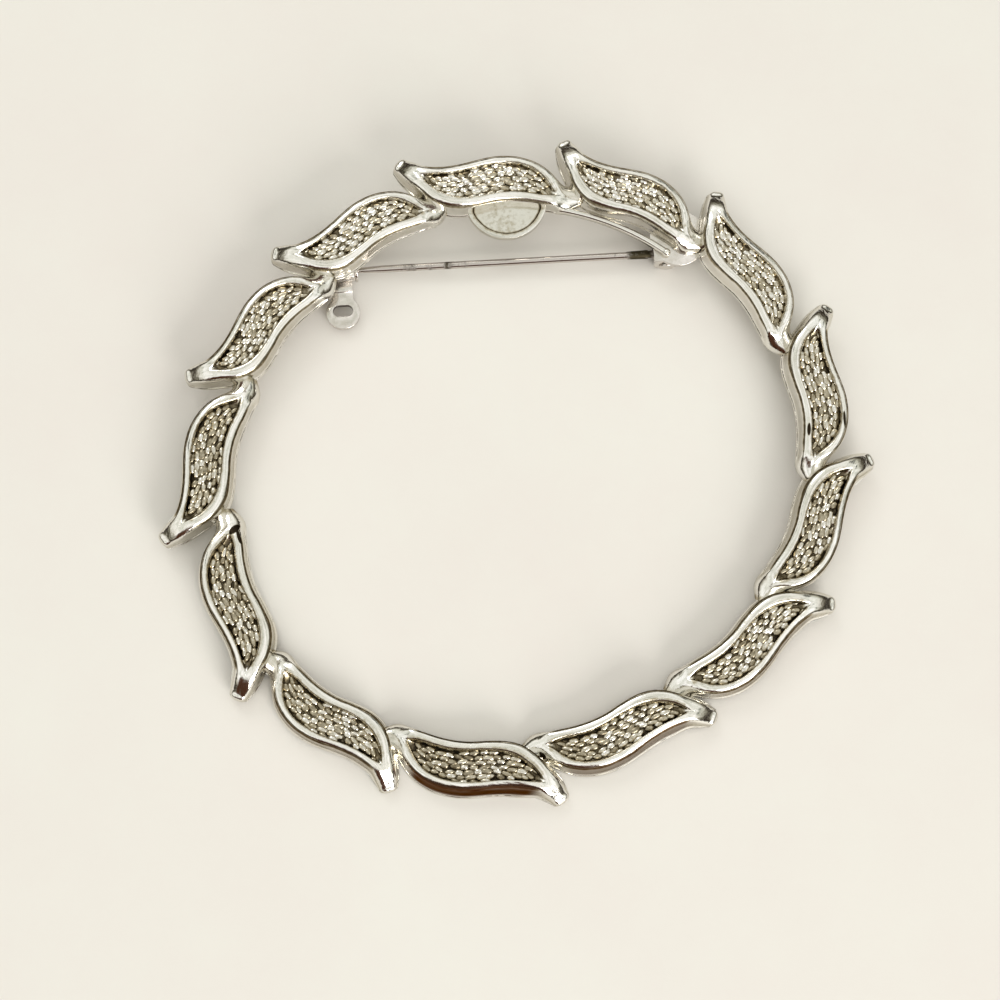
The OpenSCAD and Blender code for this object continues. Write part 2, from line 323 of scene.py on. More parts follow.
def section(row):
    """All the points round one section, from the outer foot to the inner foot."""
    top, depth, centre, half = tray(row)
    outer = half_section(top, depth, row[RIM_OUT], centre + half, 1)
    inner = half_section(top, depth, row[RIM_IN], centre - half, -1)
    points = outer + [(centre, top - depth)] + inner[::-1]
    ridge = ramp(row[ALONG], RIDGE_FROM, RIDGE_TO)
    reach = max(abs(across - centre) for across, height in points)
    rounded = []
    for across, height in points:
        crown = top * (1 - (abs(across - centre) / reach) ** RIDGE_POWER) ** 0.5
        rounded.append((across, height * (1 - ridge) + crown * ridge))
    return rounded


around = len(section(LEAF_SECTIONS[3]))
rows_along = 2 * (len(LEAF_SECTIONS) - 1) + 1
print("a section has", around, "points, and the leaf", rows_along, "sections")

# %% [markdown]
# A flat grid is added with as many rows as there are sections. Each of its points is then
# laid on its section, as a sheet of metal would be pressed over a former. Towards the tip
# the sections lean over, so that they stay square to its curl. The long edges are bridged to
# close the flat back, and the tip's open end is extruded and drawn in five times, which
# makes the small bright nub. The steps below hold how far it is drawn out and how much of
# its size it keeps.

# %% Press a grid into the leaf's skin
CURL = 0.6
CURL_END = 0.3
TIP_STEPS = [(0.13, 0.96), (0.11, 0.90), (0.09, 0.76), (0.06, 0.52), (0.02, 0.12)]
bpy.ops.object.select_all(action="DESELECT")
bpy.ops.mesh.primitive_grid_add(x_subdivisions=rows_along - 1, y_subdivisions=around - 1, size=2)
leaf = made("leaf")
profiles = [(smooth_row(LEAF_SECTIONS, k / 2)[ALONG], section(smooth_row(LEAF_SECTIONS, k / 2)))
            for k in range(rows_along)]
for v in leaf.data.vertices:
    k = round((v.co.x + 1) / 2 * (rows_along - 1))
    j = round((v.co.y + 1) / 2 * (around - 1))
    x, points = profiles[k]
    across, height = points[j]
    curl = CURL * (1 - ramp(x, LEAF_SECTIONS[0][ALONG], CURL_END))
    lean = curl * (across - points[around // 2][0])
    v.co = Vector((x + lean, across, height)) * MM

start_edit(leaf)
feet = choose(leaf, "EDGE", lambda e: e.is_boundary and all(v.co.z < 1e-6 for v in e.verts))
bpy.ops.mesh.bridge_edge_loops()
choose(leaf, "EDGE", lambda e: e.is_boundary and middle(e).x < 0)
for draw, size in TIP_STEPS:
    outward_step = (-draw * MM, CURL * draw * MM, 0)
    bpy.ops.mesh.extrude_edges_move(TRANSFORM_OT_translate={"value": outward_step})
    bpy.ops.transform.resize(value=(size, size, size))
bpy.ops.mesh.merge(type="COLLAPSE")
choose(leaf, "EDGE", lambda e: e.is_boundary)
bpy.ops.mesh.edge_face_add()
end_edit()
# Two faults are left here. The skin stays inside out after the next line, and it isn't a
# closed shell: some edges by its flat back are open, and others join three faces.
outward(leaf)
use(leaf, "SUBSURF", levels=1, render_levels=1)
print("leaf skin:", feet, "foot edges bridged,", triangles(leaf), "triangles")

# %% [markdown]
# The recess of the real leaf is old plating, darkened on purpose where polishing never
# reaches. On top of that, painted shade is laid in the recess, deepest down and beside the
# outer rim near the tip. The root gets painted shade where it dives under the next leaf. The
# bevel outside the rim gets a painted reflection as a thin dark line, and the inner half of
# the rim is a little olive. The mesh carries all of that as an attribute, 0 on what is
# polished and 1 deep down, so the finish can follow the form from every side. It is worked out
# once, while the leaf still lies straight. A second attribute keeps each point's place on the
# straight leaf, along which the ripples of buffing run.

# %% Mark how deep each point lies
def set_shade(obj, name, values):
    """Stores one number per point under a name that a finish can read."""
    data = obj.data.attributes.get(name) or obj.data.attributes.new(name, "FLOAT", "POINT")
    data.data.foreach_set("value", values)


# The floor's darkening is bloom and painted shade. The darker corner by the tip and the dark root
# are painted shade. The dark line on the bevel is a painted reflection.
FLOOR_BLOOM_AND_SHADE = 0.80
CORNER_SHADE = 0.20  # the floor is darker still beside its outer edge near the tip
LIP_OLIVE = 0.40  # the inner half of the rim is a little olive
GROOVE_REFLECTION = 0.80  # a thin dark line runs along the bevel outside the rim
ROOT_SHADE = 0.55  # the root dives under the next leaf
BACK_LEVEL = 0.3  # what lies lower belongs to the flat back, which is as bright as the rim


def hollow_at(co):
    """How dark the place is painted, from its leaf's own section: bloom and painted shade in the
    recess, painted shade at the root, and a painted reflection along the bevel.
    """
    row = row_along(co.x)
    top, depth, centre, half = tray(row)
    aside = abs(co.y - centre)
    in_tray = depth > 0.1 and co.z > BACK_LEVEL
    deep = in_tray * ramp(top - co.z, 0.30 * RECESS_DEPTH, 0.85 * RECESS_DEPTH)
    corner = ramp(co.y - centre, 0.2 * half, half) * (1 - ramp(co.x, 2.5, 5.0))
    floor = deep * (1 - ramp(aside, half, half + 0.10)) * (FLOOR_BLOOM_AND_SHADE + CORNER_SHADE * corner)
    rim = row[RIM_OUT] - centre if co.y > centre else centre - row[RIM_IN]
    lip = in_tray * LIP_OLIVE * (1 - ramp(aside, 0.6 * half + 0.4 * rim, 0.2 * half + 0.8 * rim))
    foot = WALL_FLARE * top / RIM_HEIGHT
    past_rim = aside - rim
    bevel = ramp(past_rim, 0.24 * foot, 0.36 * foot) * (1 - ramp(past_rim, 0.50 * foot, 0.60 * foot))
    beside_tray = ramp(co.x, -0.4, 0.6) * (1 - ramp(co.x, 9.2, 10.2))
    groove = GROOVE_REFLECTION * bevel * beside_tray * ramp(co.z, 0.6 * top, 0.7 * top)
    root = ROOT_SHADE * ramp(co.x, 11.2, 12.0)
    return max(floor, lip, groove, root)


set_shade(leaf, "hollow", [hollow_at(v.co / MM) for v in leaf.data.vertices])
straight = leaf.data.attributes.new("straight", "FLOAT_VECTOR", "POINT")
straight.data.foreach_set("vector", [c for v in leaf.data.vertices for c in v.co])
print("points in hollows:", sum(v.value > 0.5 for v in leaf.data.attributes["hollow"].data))

# %% [markdown]
# ## The scales
#
# The floor of each recess is covered with raised scales about a millimetre long, like those
# of a fish, in staggered rows that follow the leaf's curve. A bump in the finish alone
# would look flat from the side, so each is a real form: part of a ball, pulled long, with
# its forward end lifted. One is modelled with few faces and copied over the floor, each
# copy turned and sized a little differently, because the originals were cut by hand.

# %% Model one scale
bpy.ops.object.select_all(action="DESELECT")
bpy.ops.mesh.primitive_uv_sphere_add(segments=8, ring_count=6, radius=MM)
scale = made("scale")
start_edit(scale)
bpy.ops.mesh.select_all(action="SELECT")
bpy.ops.mesh.bisect(plane_co=(0, 0, -0.3 * MM), plane_no=(0, 0, 1), clear_inner=True)
lifted = choose(scale, "VERT", lambda v: v.co.x < -0.3 * MM and v.co.z > 0.2 * MM)
bpy.ops.transform.translate(value=(-0.12 * MM, 0, 0.14 * MM))
end_edit()
alone(scale)
bpy.ops.object.shade_smooth()
# Each scale is painted darker towards its foot and lighter on top: painted shade in the crevices
# between the scales.
scale_crevice_shade = [0.95 - 0.45 * ramp(v.co.z / MM, -0.1, 0.6) for v in scale.data.vertices]
print("one scale:", triangles(scale), "triangles,", lifted, "points lifted")

# %% Lay the scales over the leaf's floor
SCALE_PITCH = 0.66
SCALE_ROW = 0.37
SCALE_SIZE = (0.43, 0.26, 0.23)
FIRST_SCALE = 0.30
SCALE_STEPS = 27
LEAST_DEPTH = 0.3
LOOK_AHEAD = 0.3
hand = random.Random(7)
scales = []
for step in range(1, SCALE_STEPS + 1):
    x = FIRST_SCALE + step * SCALE_PITCH / 2
    top, depth, centre, half = tray(row_along(x))
    ahead = tray(row_along(x + LOOK_AHEAD))[2]
    turn = math.atan2(ahead - centre, LOOK_AHEAD)
    for k in range(-5, 6):
        across = k * SCALE_ROW
        if (k + step) % 2 or abs(across) > half + 0.02 or depth < LEAST_DEPTH:
            continue
        x_here = x + hand.uniform(-0.10, 0.10)
        y_here = centre + across + hand.uniform(-0.07, 0.07)
        size = Vector([s * hand.uniform(0.80, 1.18) for s in SCALE_SIZE])
        place = Matrix.Translation(Vector((x_here, y_here, top - depth + 0.02)) * MM)
        twist = Matrix.Rotation(turn + hand.uniform(-0.4, 0.4), 4, "Z")
        tilt = Matrix.Rotation(hand.uniform(-0.15, 0.15), 4, "X")
        twin = copy_of(scale, "scale", place @ twist @ tilt @ Matrix.Diagonal((*size, 1)))
        paler = hand.uniform(-0.12, 0.22)
        set_shade(twin, "hollow", [shade - paler for shade in scale_crevice_shade])
        scales.append(twin)
print("scales on a leaf:", len(scales))

# %% Join them to the leaf
remove(scale)
leaf = join("leaf", [leaf] + scales)
print("leaf with scales:", triangles(leaf), "triangles")

# %% [markdown]
# ## The ring
#
# Thirteen copies go round a ring that is very slightly oval, each turned so that its tip
# stands out past the leaf before it. Hand finishing left no two exactly alike, so a second
# table shifts, turns and stretches each one a little. Working the places out from the ring
# keeps it even; placing thirteen leaves by eye would not.

# %% Set thirteen leaves round the ring
LEAF_COUNT = 13
RING_RADIUS = 22.2
RING_OVAL = 0.05
OVAL_ANGLE = 28
FIRST_LEAF_ANGLE = 97
TIP_TURN = 15
LEAF_LENGTH = 9.9
SHIFT, OUT, TURN, STRETCH = range(4)
LEAF_NUDGES = [
    (-0.17, 0.02, -1, 1.03),
    (-0.02, -0.17, -1, 0.96),
    (0.20, -0.40, -1, 0.97),
    (0.25, -0.13, 1, 0.98),
    (-0.20, 0.10, -1, 1.00),
    (-0.90, 0.20, 1, 1.03),
    (0.10, -0.20, 6, 1.05),
    (0.04, 0.32, 0, 1.03),
    (-0.04, 0.53, 3, 0.97),
    (0.17, 0.00, -4, 1.01),
    (0.30, 0.00, -4, 1.00),
    (0.29, -0.18, -2, 0.97),
    (0.12, 0.02, 3, 0.99),
]


def unit(angle):
    """The direction at an angle in degrees, in the ring's plane."""
    return Vector((math.cos(math.radians(angle)), math.sin(math.radians(angle)), 0))


def leaf_place(i):
    """The matrix that stretches, turns and moves the straight leaf to its place in the ring."""
    nudge = LEAF_NUDGES[i]
    phase = FIRST_LEAF_ANGLE - 360 / LEAF_COUNT * i
    angle = phase - RING_OVAL * 90 / math.pi * math.sin(2 * math.radians(phase - OVAL_ANGLE))
    radius = RING_RADIUS * (1 + RING_OVAL * math.cos(2 * math.radians(angle - OVAL_ANGLE)))
    lean = RING_OVAL * 360 / math.pi * math.sin(2 * math.radians(angle - OVAL_ANGLE))
    direction = angle - 90 - TIP_TURN + lean + nudge[TURN]
    centre = (radius + nudge[OUT]) * unit(angle) + nudge[SHIFT] * unit(angle - 90)
    start = centre - nudge[STRETCH] * LEAF_LENGTH / 2 * unit(direction)
    turn = Matrix.Rotation(math.radians(direction), 4, "Z")
    return Matrix.Translation(start * MM) @ turn @ Matrix.Diagonal((nudge[STRETCH], 1, 1, 1))


leaves = [copy_of(leaf, "leaf_%d" % (i + 1), leaf_place(i)) for i in range(LEAF_COUNT)]
print("leaves:", len(leaves))

# %% [markdown]
# The leaves at the front were pushed outward at their feet when the ring was trimmed, so
# their outer walls slope more and their inner walls stand upright. The table's columns are:
# the leaf, how far its rim moves outward, and how much further its foot does. The tips
# stay where they are.

# %% Lean the front leaves
LEAF, RIM_SHIFT, FOOT_SHIFT = range(3)
LEANING = [
    (6, 0.00, 0.22),
    (7, 0.05, 0.38),
    (8, 0.16, 0.45),
    (9, 0.02, 0.12),
]
for row in LEANING:
    away = leaf_place(row[LEAF] - 1).to_3x3() @ Vector((0, 1, 0))
    for v, flat in zip(leaves[row[LEAF] - 1].data.vertices, leaf.data.vertices):
        share = ramp(flat.co.x / MM, -1.2, 1.5)
        shift = row[RIM_SHIFT] + row[FOOT_SHIFT] * (1 - v.co.z / MM / RIM_HEIGHT)
        v.co += away * share * shift * MM
print("leaning leaves:", len(LEANING))

# %% [markdown]
# The darkening is not the same on all leaves. Those at the bottom and the left are darker,
# partly from more bloom and mostly as painted shade, because they reflect less of the bright
# ceiling. One share per leaf, in the same order as above, scales how hollow its points count.
# A second row holds how brown the outer wall is painted. This is a painted reflection of a
# brown figure in front, and it is strongest at the very front.
# Each leaf also gets its number, by which the finish finds the few leaves with black marks.

# %% Give each leaf its own share of bloom and painted shade, and its number
# The first row mixes bloom and painted shade. The second row is a painted brown reflection on the
# outer walls.
LEAF_BLOOM_AND_SHADE = [0.84, 0.83, 0.84, 0.95, 1.02, 1.00, 1.06, 1.14, 1.00, 1.06, 1.06, 0.94, 0.88]
BROWN_WALL_REFLECTION = [0, 0, 0, 0, 0, 0.20, 0.45, 0.82, 0.20, 0, 0, 0, 0]


def outer_wall_at(co):
    """1 on the outer wall, and 0 at its foot, on the rim and inside."""
    row = row_along(co.x)
    height = co.z / (row[HEIGHT] * RIM_HEIGHT)
    along = ramp(co.x, -0.6, 0.8) * (1 - ramp(co.x, 8.6, 9.6))
    return along * ramp(co.y - row[RIM_OUT], 0.10, 0.24) * ramp(height, 0.10, 0.18)


walls = [outer_wall_at(v.co / MM) for v in leaf.data.vertices]
remove(leaf)
for i, one in enumerate(leaves):
    set_shade(one, "hollow", [LEAF_BLOOM_AND_SHADE[i] * d.value for d in one.data.attributes["hollow"].data])
    set_shade(one, "brown", [BROWN_WALL_REFLECTION[i] * wall for wall in walls])
    set_shade(one, "leaf_number", [i + 1] * len(one.data.vertices))
print("bloom from", min(LEAF_BLOOM_AND_SHADE), "to", max(LEAF_BLOOM_AND_SHADE))
print("brown on", sum(b > 0 for b in BROWN_WALL_REFLECTION), "walls")

# %% [markdown]
# ## The half-round tab and the rail
#
# Under the top leaf a thin half-round tab with a raised border fills the edge of the ring,
# and a thin rail runs beside the hinge. The tab is a disc that is cut straight, thickened,
# and pressed in inside its border, where it is drawn in twice: once so that the border's
# wall slopes, and once for the edge of the dark line that runs along it. The rail is a small
# circle spun round the ring's middle, which is how a drawn moulding would be bent.

# %% The half-round tab
TAB_PLACE = Vector((-1.0, 20.55, 0))
TAB_RADIUS = 3.15
TAB_CUT = 1.6
TAB_HEIGHT = 0.60
TAB_BORDER = 0.35
TAB_SINK = 0.15


def tab_painted_shade(co):
    """Painted shade: a dark line within the border along its step, and a slight painted shade on the
    rest, on the front only.
    """
    inside = min(TAB_RADIUS - co.xy.length, TAB_CUT - co.y) - TAB_BORDER
    line = 0.9 * ramp(inside, -0.05, 0.03) * (1 - ramp(inside, 0.12, 0.20))
    return (co.z > TAB_HEIGHT / 2) * (line + 0.20 * ramp(inside, 0, 0.20))


bpy.ops.object.select_all(action="DESELECT")
bpy.ops.mesh.primitive_circle_add(vertices=96, radius=TAB_RADIUS * MM, fill_type="NGON")
tab = made("tab")
start_edit(tab)
bpy.ops.mesh.select_all(action="SELECT")
bpy.ops.mesh.bisect(plane_co=(0, TAB_CUT * MM, 0), plane_no=(0, 1, 0), clear_outer=True)
bpy.ops.mesh.select_all(action="SELECT")
bpy.ops.mesh.extrude_region_move(TRANSFORM_OT_translate={"value": (0, 0, TAB_HEIGHT * MM)})
choose(tab, "FACE", lambda f: f.normal.z > 0.9
       or (len(f.verts) > 8 and middle(f).z > TAB_HEIGHT - 0.01))
bpy.ops.mesh.inset(thickness=TAB_BORDER * MM)
bpy.ops.mesh.extrude_region_move(TRANSFORM_OT_translate={"value": (0, 0, -TAB_SINK * MM)})
bpy.ops.transform.resize(value=(0.97, 0.97, 1))
bpy.ops.mesh.extrude_region_move(TRANSFORM_OT_translate={"value": (0, 0, 0)})
bpy.ops.transform.resize(value=(0.94, 0.94, 1))
end_edit()
outward(tab)
use(tab, "BEVEL", width=0.07 * MM, segments=3, limit_method="ANGLE", angle_limit=math.radians(40))
set_shade(tab, "hollow", [tab_painted_shade(v.co / MM) for v in tab.data.vertices])
tab.data.transform(Matrix.Translation(TAB_PLACE * MM))
print("tab:", triangles(tab), "triangles")

# %% The rail
RAIL_RADIUS = 20
RAIL_WIDTH = 0.5
RAIL_HEIGHT = 0.75
RAIL_AXIS = RAIL_HEIGHT - RAIL_WIDTH / 2
RAIL_FROM, RAIL_TO = 55.5, 81
bpy.ops.object.select_all(action="DESELECT")
bpy.ops.mesh.primitive_circle_add(vertices=16, radius=RAIL_WIDTH / 2 * MM, fill_type="NOTHING",
                                  location=(RAIL_RADIUS * MM, 0, RAIL_AXIS * MM),
                                  rotation=(math.radians(90), 0, 0))
rail = made("rail")
bpy.ops.object.transform_apply(location=True, rotation=True, scale=True)
start_edit(rail)
choose(rail, "VERT", lambda v: v.co.z < (RAIL_AXIS - 0.05) * MM)
bpy.ops.transform.translate(value=(0, 0, -(RAIL_HEIGHT - RAIL_WIDTH) * MM))
bpy.ops.mesh.select_all(action="SELECT")
bpy.ops.mesh.spin(steps=40, angle=math.radians(RAIL_FROM - RAIL_TO),
                  center=(0, 0, 0), axis=(0, 0, 1))
choose(rail, "EDGE", lambda e: e.is_boundary)
bpy.ops.mesh.edge_face_add()
end_edit()
outward(rail)
rail.data.transform(Matrix.Rotation(math.radians(RAIL_FROM), 4, "Z"))
spun = [math.degrees(math.atan2(v.co.y, v.co.x)) for v in rail.data.vertices]
print("rail runs from %.1f to %.1f degrees" % (min(spun), max(spun)))

# %% The knob at the rail's end
KNOB_WIDTH = 0.65
bpy.ops.object.select_all(action="DESELECT")
bpy.ops.mesh.primitive_uv_sphere_add(segments=20, ring_count=12, radius=KNOB_WIDTH / 2 * MM)
knob = made("knob")
start_edit(knob)
choose(knob, "VERT", lambda v: v.co.z < -0.01 * MM)
bpy.ops.transform.resize(value=(1, 1, 0), center_override=(0, 0, 0))
bpy.ops.transform.translate(value=(0, 0, -RAIL_AXIS * MM))
end_edit()
outward(knob)
knob_place = RAIL_RADIUS * unit(RAIL_FROM) + Vector((0, 0, RAIL_AXIS))
knob.data.transform(Matrix.Translation(knob_place * MM))
print("knob:", triangles(knob), "triangles")

# %% [markdown]
# The real casting is one piece of metal, so the leaves, tab and rail are joined into one
# object. It is laid down with the matrix from the start, and it takes the place of the
# solid model's plain ring.

# %% Join the casting and lay it down
casting = join("wreath_casting", leaves + [tab, rail, knob])
casting.data.transform(LAY)
alone(casting)
bpy.ops.object.shade_smooth_by_angle(angle=math.radians(60))
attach(casting, "brooch")
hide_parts("wreath")
print("casting:", triangles(casting), "triangles")

# %% [markdown]
# ## The findings
#
# Hinge, rivet, pin, housing and rolling sleeve are stock parts, turned and stamped from
# brass and steel. Their solids already have the true shape; what they lack is the slight
# rounding that tumbling and plating leave on every edge, which is what catches the light.
# So each is copied, its flat faces are cleared of extra lines, and its edges are bevelled.
# The sleeve's flanges stand out by only 0.09 mm, so its bevel stays under half of that.

# %% Copy the findings and soften their edges
SLEEVE_BEVEL = 0.04


def softened(node, name, body, bevel):
    """A copy of a solid with rounded edges, which takes the solid's place."""
    piece = copy_of(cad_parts[node], name, Matrix.Identity(4))
    alone(piece)
    bpy.ops.mesh.customdata_custom_splitnormals_clear()
    piece.data.materials.clear()
    outward(piece, 0.001)
    start_edit(piece)
    bpy.ops.mesh.select_all(action="SELECT")
    bpy.ops.mesh.dissolve_limited(angle_limit=math.radians(1))
    end_edit()
    use(piece, "BEVEL", width=bevel * MM, segments=3, limit_method="ANGLE",
        angle_limit=math.radians(40))
    alone(piece)
    bpy.ops.object.shade_smooth_by_angle(angle=math.radians(35))
    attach(piece, body)
    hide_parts(node)
    print(name + ":", triangles(piece), "triangles")
    return piece


bracket = softened("hinge_bracket", "soldered_hinge", "brooch", 0.06)
rivet = softened("hinge_rivet", "hinge_rivet_pin", "brooch", 0.06)
stem = softened("pin_stem", "pin_and_eye", "pin", 0.04)
housing = softened("catch_housing", "catch_tube", "brooch", 0.05)
sleeve = softened("catch_sleeve", "rolling_sleeve", "catch_roller", SLEEVE_BEVEL)

# %% [markdown]
# The walls round the inside of the window in the sleeve's thumb piece are coloured dark
# brown. The pin has a frame of its own, whose X axis runs from
# the rivet to the point, and so has the catch, whose X axis runs out along the thumb piece
# and whose Z axis follows the pin. There the window is a short line, grown round all its
# points.

# %% Mark the window's walls
RIVET_PLACE = Vector((11.5, 16.9, -1.25))
PIN_TURN = math.radians(184)
PIN_FRAME = LAY @ Matrix.Translation(RIVET_PLACE * MM) @ Matrix.Rotation(PIN_TURN, 4, "Z")
CATCH_REACH = 25.2
QUARTER = math.radians(90)
CATCH_FRAME = (PIN_FRAME @ Matrix.Translation((CATCH_REACH * MM, 0, 0))
               @ Matrix.Rotation(QUARTER, 4, "Z") @ Matrix.Rotation(QUARTER, 4, "X"))
WINDOW_REACH = 3.2
WINDOW_WIDTH = 0.85
WINDOW_LENGTH = 1.5


def window_gap(co):
    """How far the point lies from the line down the window's middle."""
    end = (WINDOW_LENGTH - WINDOW_WIDTH) / 2
    return math.hypot(co.x - WINDOW_REACH, max(0, abs(co.z) - end))


to_catch = CATCH_FRAME.inverted()
past_wall = [window_gap(to_catch @ v.co / MM) - WINDOW_WIDTH / 2 for v in sleeve.data.vertices]
set_shade(sleeve, "hollow", [1 - ramp(gap, 0, SLEEVE_BEVEL) for gap in past_wall])
print("points on the window's walls:", sum(gap < SLEEVE_BEVEL / 2 for gap in past_wall))

# %% [markdown]
# ## Finishes
#
# A finish is a graph of nodes. One helper adds a node with its settings and its inputs: an
# input is either a plain value or the output of another node. The helpers after it add the
# kinds of node that every finish needs, and hand on the output that the next node takes.
# Colours are written as they are read off a screen, and one function turns them into the
# linear values that light uses.

# %% Colours and nodes
def linear(code):
    """A screen colour such as #d9d6cd as the linear values that light uses."""
    parts = [int(code[i:i + 2], 16) / 255 for i in (1, 3, 5)]
    parts = [c / 12.92 if c <= 0.04045 else ((c + 0.055) / 1.055) ** 2.4 for c in parts]
    return (*parts, 1.0)


def finish_named(name):
    """An empty finish with its output, and the tree to build it in."""
    finish = bpy.data.materials.new(name)
    finish.use_nodes = True
    finish.node_tree.nodes.clear()
    return finish, finish.node_tree


def add(tree, kind, settings=None, inputs=None):
    """Adds a node. Inputs are plain values, or other nodes' outputs."""
    made_node = tree.nodes.new(kind)
    for key, value in (settings or {}).items():
        setattr(made_node, key, value)
    for key, value in (inputs or {}).items():
        if isinstance(value, bpy.types.NodeSocket):
            tree.links.new(value, made_node.inputs[key])
        else:
            made_node.inputs[key].default_value = value
    return made_node


def attribute(tree, name, output="Fac"):
    """What a mesh carries at each point under that name."""
    return add(tree, "ShaderNodeAttribute", {"attribute_name": name}).outputs[output]


def noise(tree, place, width, detail=2.0, rough=0.5):
    """A cloudy pattern from 0 to 1 with blotches about that many millimetres wide."""
    inputs = {"Vector": place, "Scale": 1000 / width, "Detail": detail, "Roughness": rough}
    return add(tree, "ShaderNodeTexNoise", {}, inputs).outputs["Fac"]


def number(tree, operation, *values):
    """One step of arithmetic on plain numbers or outputs."""
    step = add(tree, "ShaderNodeMath", {"operation": operation}, dict(enumerate(values)))
    return step.outputs[0]


def spread(tree, value, low, high, to_low=0.0, to_high=1.0, kind="SMOOTHSTEP"):
    """The value's stretch from low to high, laid out over the stretch from to_low to to_high."""
    node = add(tree, "ShaderNodeMapRange", {"interpolation_type": kind},
               {"Value": value, "From Min": low, "From Max": high,
                "To Min": to_low, "To Max": to_high})
    return node.outputs["Result"]


def blend(tree, share, first, second, kind="MIX"):
    """The first colour where the share is 0, and the second, or their product, where it is 1."""
    settings = {"data_type": "RGBA", "blend_type": kind}
    return add(tree, "ShaderNodeMix", settings, {0: share, 6: first, 7: second}).outputs[2]


def tones(tree, value, row):
    """Colours along the value, from a row of (place, linear colour) pairs."""
    node = add(tree, "ShaderNodeValToRGB", {}, {"Fac": value})
    stops = node.color_ramp.elements
    stops[0].position, stops[0].color = row[0]
    stops[1].position, stops[1].color = row[-1]
    for place, colour in row[1:-1]:
        stop = stops.new(place)
        stop.color = colour
    return node.outputs["Color"]


def relief(tree, height, depth, strength, over=None):
    """Dents about that many millimetres deep, on top of the relief given as over."""
    inputs = {"Strength": strength, "Distance": depth * MM, "Height": height}
    if over is not None:
        inputs["Normal"] = over
    return add(tree, "ShaderNodeBump", {}, inputs).outputs[0]


def coat(pieces, finish, inputs):
    """Completes the finish with its surface and puts it on the pieces."""
    surface = add(finish.node_tree, "ShaderNodeBsdfPrincipled", {}, inputs)
    add(finish.node_tree, "ShaderNodeOutputMaterial", {}, {"Surface": surface.outputs[0]})
    for piece in pieces:
        piece.data.materials.clear()
        piece.data.materials.append(finish)
    names = [piece.name for piece in pieces]
    print(finish.name, "has", len(finish.node_tree.nodes), "nodes and is on", names)


WHITE = linear("#ffffff")
print("half grey on a screen is", [round(c, 3) for c in linear("#808080")], "in light")

# %% [markdown]
# The casting is white metal plated with a silver-toned coat. Buffing leaves the rims bright
# with faint ripples along each leaf; the recesses keep a dark, dull bloom, and painted shade
# and a painted reflection are laid over it. So the hollow attribute picks the metal's tone
# from a row of four: bright above, then two olive browns, and nearly black deep down, with a
# noise that breaks the boundaries up as wear does.
#
# Three leaves carry small black marks. Leaf 7's is a painted shadow in the gap between its
# root's rim and the next leaf's tip; the others are painted black where the table puts them.
# Each is an ellipse in the straight leaf's own coordinates. A Mapping node brings it to a
# unit ball, a round gradient fills the ball, and a comparison keeps it to its leaf. The
# table's columns are: the leaf, the middle's place along and across, half the length, half
# the width, and the turn in degrees.

# %% How hollow the casting counts, and its black marks
PLACE_X, PLACE_Y, HALF_LENGTH, HALF_WIDTH, MARK_TURN = range(1, 6)  # LEAF comes first here too
MARKS = [
    (4, 8.05, -0.50, 0.62, 0.17, 0),
    (4, 7.10, 2.18, 0.75, 0.13, 4),
    # Leaf 7's mark is a painted shadow in the gap by its root.
    (7, 10.60, 0.62, 0.42, 0.17, 122),
    (10, 10.35, -0.45, 0.62, 0.32, -55),
    (10, 9.75, -0.68, 0.70, 0.16, 8),
]
MARK_LEVEL = 1.45  # the middle's height, and half the height, so no mark comes out at the back
MARK_DARKNESS = 1.2
plating, tree = finish_named("bright_plating_darkened_in_the_recesses")
spot = add(tree, "ShaderNodeTexCoord").outputs["Object"]
straight_spot = attribute(tree, "straight", "Vector")
leaf_number = attribute(tree, "leaf_number")
# The hollow attribute holds bloom together with painted shade and a painted reflection.
broken = number(tree, "MULTIPLY_ADD", noise(tree, spot, 0.35, 4.0, 0.6), 0.7, -0.35)
bloom_and_shade = number(tree, "ADD", attribute(tree, "hollow"), broken)
for mark in MARKS:
    ball = add(tree, "ShaderNodeMapping", {"vector_type": "TEXTURE"},
               {"Vector": straight_spot,
                "Location": Vector((mark[PLACE_X], mark[PLACE_Y], MARK_LEVEL)) * MM,
                "Rotation": (0, 0, math.radians(mark[MARK_TURN])),
                "Scale": Vector((mark[HALF_LENGTH], mark[HALF_WIDTH], MARK_LEVEL)) * MM})
    inside = add(tree, "ShaderNodeTexGradient", {"gradient_type": "SPHERICAL"},
                 {"Vector": ball.outputs[0]})
    here = number(tree, "COMPARE", leaf_number, mark[LEAF], 0.5)
    black = number(tree, "MULTIPLY", spread(tree, inside.outputs["Fac"], 0.05, 0.35), here)
    bloom_and_shade = number(tree, "MULTIPLY_ADD", black, MARK_DARKNESS, bloom_and_shade)
print("black marks:", len(MARKS))

# %% Bright plating with darkened recesses
PLATING_TONES = [(0.25, "#f4f3f1"), (0.48, "#c3bba9"), (0.74, "#7b715d"), (1.0, "#2e271e")]
smear = noise(tree, spot, 2.2, 3.0, 0.55)
metal = tones(tree, bloom_and_shade, [(place, linear(code)) for place, code in PLATING_TONES])
shaded = blend(tree, 1.0, metal, blend(tree, smear, WHITE, linear("#e4e0d4")), "MULTIPLY")
